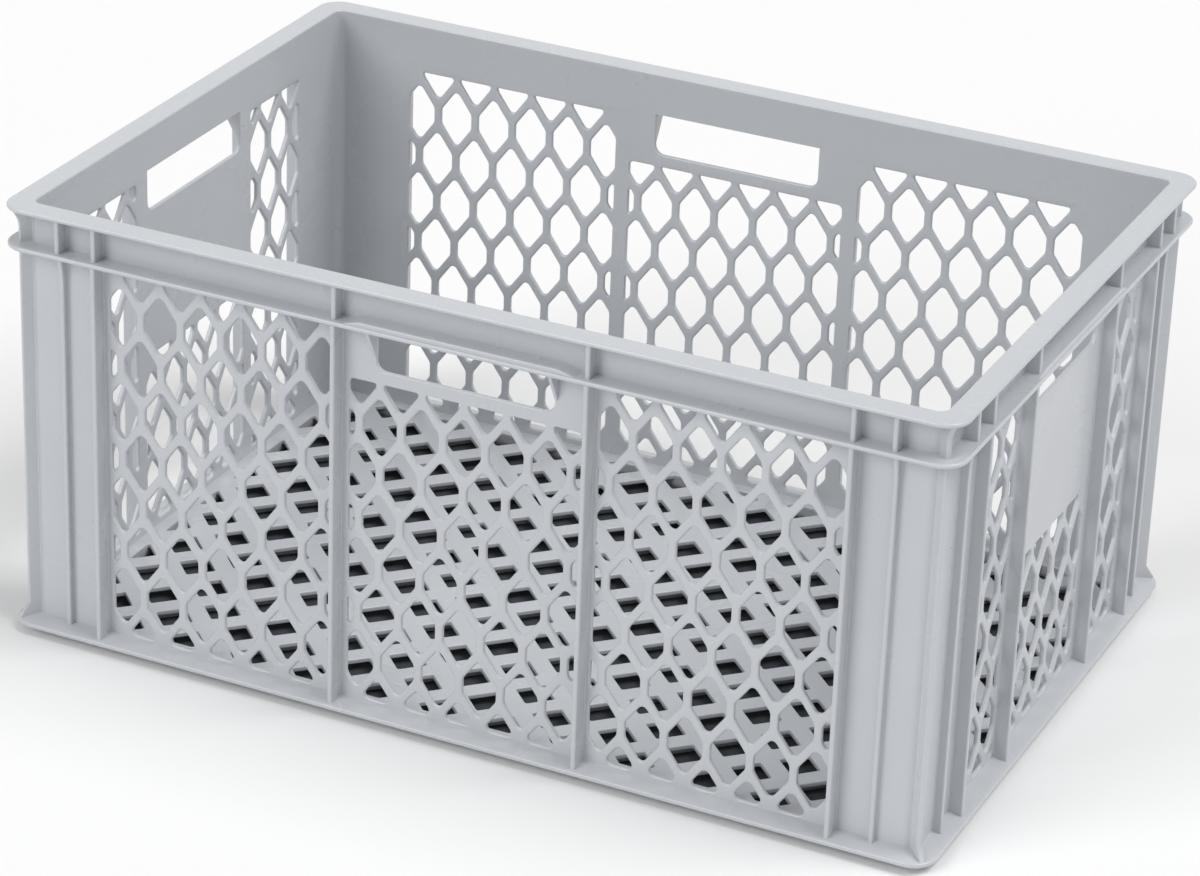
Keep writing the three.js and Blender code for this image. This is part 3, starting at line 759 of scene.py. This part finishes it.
def gusset_stations(sizes, low, high, steps=6):
    """Stations of a corner gusset between flange and lip, which curves out to the lip's edge."""
    plain = diagonal_section(sizes, sizes.diagonal_inset)
    start = low + sizes.gusset_straight
    spread = sizes.diagonal_inset - sizes.gusset_top_inset
    stations = [(low - ROOT, plain), (start, plain)]
    for k in range(1, steps + 1):
        inset = sizes.diagonal_inset - spread * (k / steps) ** 2
        stations.append((start + (high - start) * k / steps, diagonal_section(sizes, inset)))
    stations.append((high + ROOT, stations[-1][1]))
    return stations


class CRATE_OT_dividers(bpy.types.Operator):
    """Build the eight upright ribs that divide the walls' panels"""

    bl_idname = "crate.dividers"
    bl_label = "Dividers"

    def execute(self, context):
        sizes = context.scene.crate_sizes
        for name, quarters in WALLS.items():
            wall = wall_facts(sizes, quarters)
            for side, sign in (("right", 1), ("left", -1)):
                bm = bmesh.new()
                place = wall_turn(quarters) @ Matrix.Translation((sign * wall.divider, INSET - wall.face, 0))
                add_rib(bm, upright_stations(sizes, wall.rib_reach), place)
                node = name + "_divider_" + side
                finish_piece(context, node.replace("divider", "rib"), bm, [node])
        return {"FINISHED"}


class CRATE_OT_mouth(bpy.types.Operator):
    """Build the mouth: the lip, the band under it with its short ribs and gussets, and the flange"""

    bl_idname = "crate.mouth"
    bl_label = "Mouth"

    def execute(self, context):
        sizes = context.scene.crate_sizes
        steps = sizes.round_steps
        inner = (INSET + SKIN, sizes.skin_radius - SKIN)
        bend = sizes.mouth_round
        lip = outer_edge(sizes, LIP[0].z, LIP[1].z, sizes.lip_round)
        for angle in quarter(EDGE_STEPS):
            back = bend - bend * math.sin(angle)
            lip.append((inner[0] - back, inner[1] + back, LIP[1].z - bend + bend * math.cos(angle)))
        lip.append((*inner, LIP[0].z))
        flange = outer_edge(sizes, FLANGE[0].z, FLANGE[1].z, sizes.lip_round)
        flange += [(*inner, FLANGE[1].z), (*inner, FLANGE[0].z)]
        for name, section, node in (("lip", lip, "top_lip"), ("flange", flange, "stacking_flange")):
            bm = bmesh.new()
            add_ring_solid(bm, section, steps)
            finish_piece(context, name, bm, [node])

        bm = bmesh.new()
        low, high = FLANGE[1].z, LIP[0].z
        section = [(INSET, sizes.skin_radius, low), (INSET, sizes.skin_radius, high), (*inner, high), (*inner, low)]
        add_ring_solid(bm, section, steps)
        rib = upright_section(sizes, INSET - sizes.band_rib_inset)
        stations = [(low - ROOT, rib), (high + ROOT, rib)]
        for quarters in WALLS.values():
            wall = wall_facts(sizes, quarters)
            for along in (wall.half - sizes.first_rib, wall.half - sizes.second_rib, wall.divider):
                for sign in (1, -1):
                    place = wall_turn(quarters) @ Matrix.Translation((sign * along, INSET - wall.face, 0))
                    add_rib(bm, stations, place)
            add_grip(bm, sizes, wall_turn(quarters) @ Matrix.Translation((0, INSET - wall.face, low)))
        gusset = gusset_stations(sizes, low, high)
        for sx, sy in CORNERS.values():
            add_rib(bm, gusset, Matrix.Diagonal((sx, sy, 1, 1)) @ diagonal_place())
        finish_piece(context, "band", bm, ["rim_band"])
        return {"FINISHED"}


def add_grip(bm, sizes, place):
    """The raised grip on the flange over a hand hole, swept along the wall."""
    reach = INSET - sizes.lip_round
    bend = sizes.rib_round

    def section(rise):
        arc = quarter(EDGE_STEPS)
        corner = [(rise - bend + bend * math.sin(a), reach - bend + bend * math.cos(a)) for a in arc]
        return [(-GRIP_ROOT, -ROOT), (-GRIP_ROOT, reach), *corner, (rise, -ROOT)]

    foot = sizes.grip_half + sizes.grip_ramp
    full, sunk = section(sizes.grip_rise), section(-GRIP_SUNK)
    # A rib runs up Z. This one runs along X, and rises over the flange.
    swap = Matrix(((0, 0, 1, 0), (0, 1, 0, 0), (1, 0, 0, 0), (0, 0, 0, 1)))
    stations = [(-foot, sunk), (-sizes.grip_half, full), (sizes.grip_half, full), (foot, sunk)]
    add_rib(bm, stations, place @ swap)


class CRATE_OT_skirt(bpy.types.Operator):
    """Build the skirt round the base"""

    bl_idname = "crate.skirt"
    bl_label = "Skirt"

    def execute(self, context):
        sizes = context.scene.crate_sizes
        steps = sizes.round_steps
        section = outer_edge(sizes, SKIRT[0].z, SKIRT[0].z + sizes.skirt_edge, sizes.skirt_round)
        section += [
            (INSET, sizes.skin_radius, SKIRT[1].z),
            (INSET + SKIN, sizes.skin_radius - SKIN, SKIRT[1].z),
            (INSET + SKIN, sizes.skin_radius - SKIN, SKIRT[0].z),
        ]
        bm = bmesh.new()
        add_ring_solid(bm, section, steps)
        finish_piece(context, "skirt", bm, ["base_skirt"])
        return {"FINISHED"}


def diamond_holes(pitch, bar, inset, margin, bend):
    """Outlines of square holes that stand on their corners, in a grid through the crate's middle."""
    step = pitch / math.sqrt(2)
    reach = (pitch - bar) / math.sqrt(2)
    x_end = CAD_BOX[1].x - inset - margin
    y_end = CAD_BOX[1].y - inset - margin
    window = (-x_end, x_end, -y_end, y_end)
    across, along = math.ceil(x_end / step) + 1, math.ceil(y_end / step) + 1
    outlines = []
    for i in range(-across, across + 1):
        for j in range(-along, along + 1):
            if (i + j) % 2 == 0:
                continue
            x, y = i * step, j * step
            points = clipped([(x + reach, y), (x, y + reach), (x - reach, y), (x, y - reach)], window)
            if len(points) > 2 and area(points) > SMALLEST_HOLE:
                outlines.append(rounded(points, bend))
    return outlines


class CRATE_OT_floor(bpy.types.Operator):
    """Build the floor lattice, and the stacking foot with the deep ribs under the floor"""

    bl_idname = "crate.floor"
    bl_label = "Floor"

    def execute(self, context):
        sizes = context.scene.crate_sizes
        steps = sizes.round_steps
        bend = sizes.floor_round
        inset = CAD_BOX[1].x - FLOOR[1].x
        radius = sizes.skin_radius - SKIN
        outline = ring_points(inset, radius, steps)
        holes = diamond_holes(sizes.floor_pitch, sizes.floor_bar, inset, sizes.floor_margin, sizes.floor_corner)
        bm = bmesh.new()
        add_plate(bm, lambda grow: outline, holes, edge_profile(FLOOR[0].z, FLOOR[1].z, bend / 2, bend))
        finish_piece(context, "floor", bm, ["floor_mesh"])

        inset = CAD_BOX[1].x - FOOT[1].x
        holes = diamond_holes(2 * sizes.floor_pitch, sizes.deep_rib, inset, sizes.foot_rim, sizes.floor_corner)
        bm = bmesh.new()
        add_plate(
            bm,
            lambda grow: ring_points(inset - grow, radius + grow, steps),
            holes,
            edge_profile(FOOT[0].z, FOOT[1].z, bend, 0),
        )
        finish_piece(context, "foot", bm, ["stacking_foot"])
        return {"FINISHED"}


class CRATE_OT_stage(bpy.types.Operator):
    """Build the paper floor, the soft lights and the camera"""

    bl_idname = "crate.stage"
    bl_label = "Stage"

    def execute(self, context):
        stage = context.scene.crate_stage
        half = stage.paper_size / 2
        add_sheet(context, "paper_floor", half, half, FOOT[0].z - stage.paper_drop, matt_paper(context))
        # Painted shade: a dark sheet inside the foot's rim stands in for the shadow under the crate's floor.
        rim = context.scene.crate_sizes.foot_rim
        shade_sheet = (FOOT[1].x - rim, FOOT[1].y - rim, FOOT[0].z - stage.shade_sheet_drop)
        add_sheet(context, "dark_card", *shade_sheet, dark_card(context))

        for name, strength, direction in (
            ("left_softbox", stage.left_light, stage.left_direction),
            ("right_softbox", stage.right_light, stage.right_direction),
        ):
            light = bpy.data.lights.new(name, "SUN")
            light.energy = strength
            light.angle = stage.lamp_angle
            lamp = bpy.data.objects.new(name, light)
            lamp.rotation_euler = Vector(direction).to_track_quat("-Z", "Y").to_euler()
            context.scene.collection.objects.link(lamp)

        world = bpy.data.worlds.new("studio")
        world.use_nodes = True
        tree = world.node_tree
        tree.nodes.clear()
        level = add_node(
            tree, "ShaderNodeMapRange", {}, {"Value": seen_directly(tree), "To Min": stage.fill, "To Max": 1.0}
        )
        sky = add_node(tree, "ShaderNodeBackground", {}, {"Color": (1, 1, 1, 1), "Strength": level.outputs["Result"]})
        add_node(tree, "ShaderNodeOutputWorld", {}, {"Surface": sky.outputs["Background"]})
        context.scene.world = world

        camera = bpy.data.cameras.new("camera")
        camera.sensor_width = SENSOR_WIDTH
        camera.lens = stage.focal
        camera.clip_end = VIEW_END
        eye = bpy.data.objects.new("camera", camera)
        turn = Matrix.Rotation(stage.azimuth, 4, "Z") @ Matrix.Rotation(math.pi / 2 - stage.elevation, 4, "X")
        turn = turn @ Matrix.Rotation(stage.roll, 4, "Z")
        eye.matrix_world = Matrix.Translation(stage.camera_place) @ turn
        context.scene.collection.objects.link(eye)
        context.scene.camera = eye
        context.scene.view_settings.view_transform = "Standard"
        return {"FINISHED"}


def seen_directly(tree):
    """1 for the rays that show the backdrop itself: camera, glossy and transmission rays."""
    rays = add_node(tree, "ShaderNodeLightPath")
    seen = rays.outputs["Is Camera Ray"]
    for kind in ("Is Glossy Ray", "Is Transmission Ray"):
        either = add_node(tree, "ShaderNodeMath", {"operation": "MAXIMUM"}, {0: seen, 1: rays.outputs[kind]})
        seen = either.outputs["Value"]
    return seen


def add_sheet(context, name, half_x, half_y, level, material):
    """A flat sheet of the stage, centred under the crate."""
    bm = bmesh.new()
    bmesh.ops.create_grid(bm, x_segments=8, y_segments=8, size=1.0)
    bmesh.ops.transform(bm, matrix=Matrix.Diagonal((half_x, half_y, 1, 1)), verts=bm.verts)
    bmesh.ops.translate(bm, vec=(0, 0, level), verts=bm.verts)
    new_object(context, name, bm, material)


def dark_card(context):
    """Painted shade: a dark sheet under the crate that stands in for the shadow beneath its floor, and keeps the
    floor's holes dark, as the photograph has them.
    """
    material, _, shader = new_material("dark_card")
    shader.inputs["Base Color"].default_value = context.scene.crate_colours.shade_sheet
    shader.inputs["Roughness"].default_value = PAPER_ROUGHNESS
    return material


def matt_paper(context):
    """Seamless background paper, calendered and uncoated: flat, nearly white, with a faint tooth."""
    material, tree, shader = new_material("matt_paper")
    shader.inputs["Base Color"].default_value = context.scene.crate_colours.paper
    shader.inputs["Roughness"].default_value = PAPER_ROUGHNESS
    place = add_node(tree, "ShaderNodeTexCoord").outputs["Object"]
    tooth = add_node(tree, "ShaderNodeTexNoise", {}, {"Vector": place, "Scale": 1 / PAPER_TOOTH, "Detail": 1.0})
    bump = add_node(
        tree, "ShaderNodeBump", {}, {"Height": tooth.outputs["Fac"], "Strength": 0.1, "Distance": 0.05 * MM}
    )
    tree.links.new(bump.outputs["Normal"], shader.inputs["Normal"])
    return material


class CRATE_PT_sidebar(bpy.types.Panel):
    """Crate panel in the sidebar"""

    bl_idname = "CRATE_PT_sidebar"
    bl_label = "Crate"
    bl_space_type = "VIEW_3D"
    bl_region_type = "UI"
    bl_category = "Crate"

    def draw(self, context):
        for operator in OPERATORS:
            self.layout.operator(operator.bl_idname)
        for group in (context.scene.crate_sizes, context.scene.crate_colours, context.scene.crate_stage):
            box = self.layout.box()
            for name in group.bl_rna.properties.keys():
                if name not in ("rna_type", "name"):
                    box.prop(group, name)


OPERATORS = (
    CRATE_OT_walls,
    CRATE_OT_corner_posts,
    CRATE_OT_dividers,
    CRATE_OT_mouth,
    CRATE_OT_skirt,
    CRATE_OT_floor,
    CRATE_OT_stage,
)
GROUPS = {"crate_sizes": CrateSizes, "crate_colours": CrateColours, "crate_stage": CrateStage}


def register():
    for item in (*GROUPS.values(), *OPERATORS, CRATE_PT_sidebar):
        bpy.utils.register_class(item)
    for name, group in GROUPS.items():
        setattr(bpy.types.Scene, name, PointerProperty(type=group))


def unregister():
    for name in GROUPS:
        delattr(bpy.types.Scene, name)
    for item in (CRATE_PT_sidebar, *reversed(OPERATORS), *reversed(list(GROUPS.values()))):
        bpy.utils.unregister_class(item)


def main():
    register()
    bpy.ops.crate.walls()
    bpy.ops.crate.corner_posts()
    bpy.ops.crate.dividers()
    bpy.ops.crate.mouth()
    bpy.ops.crate.skirt()
    bpy.ops.crate.floor()
    bpy.ops.crate.stage()


if __name__ == "__main__":
    main()
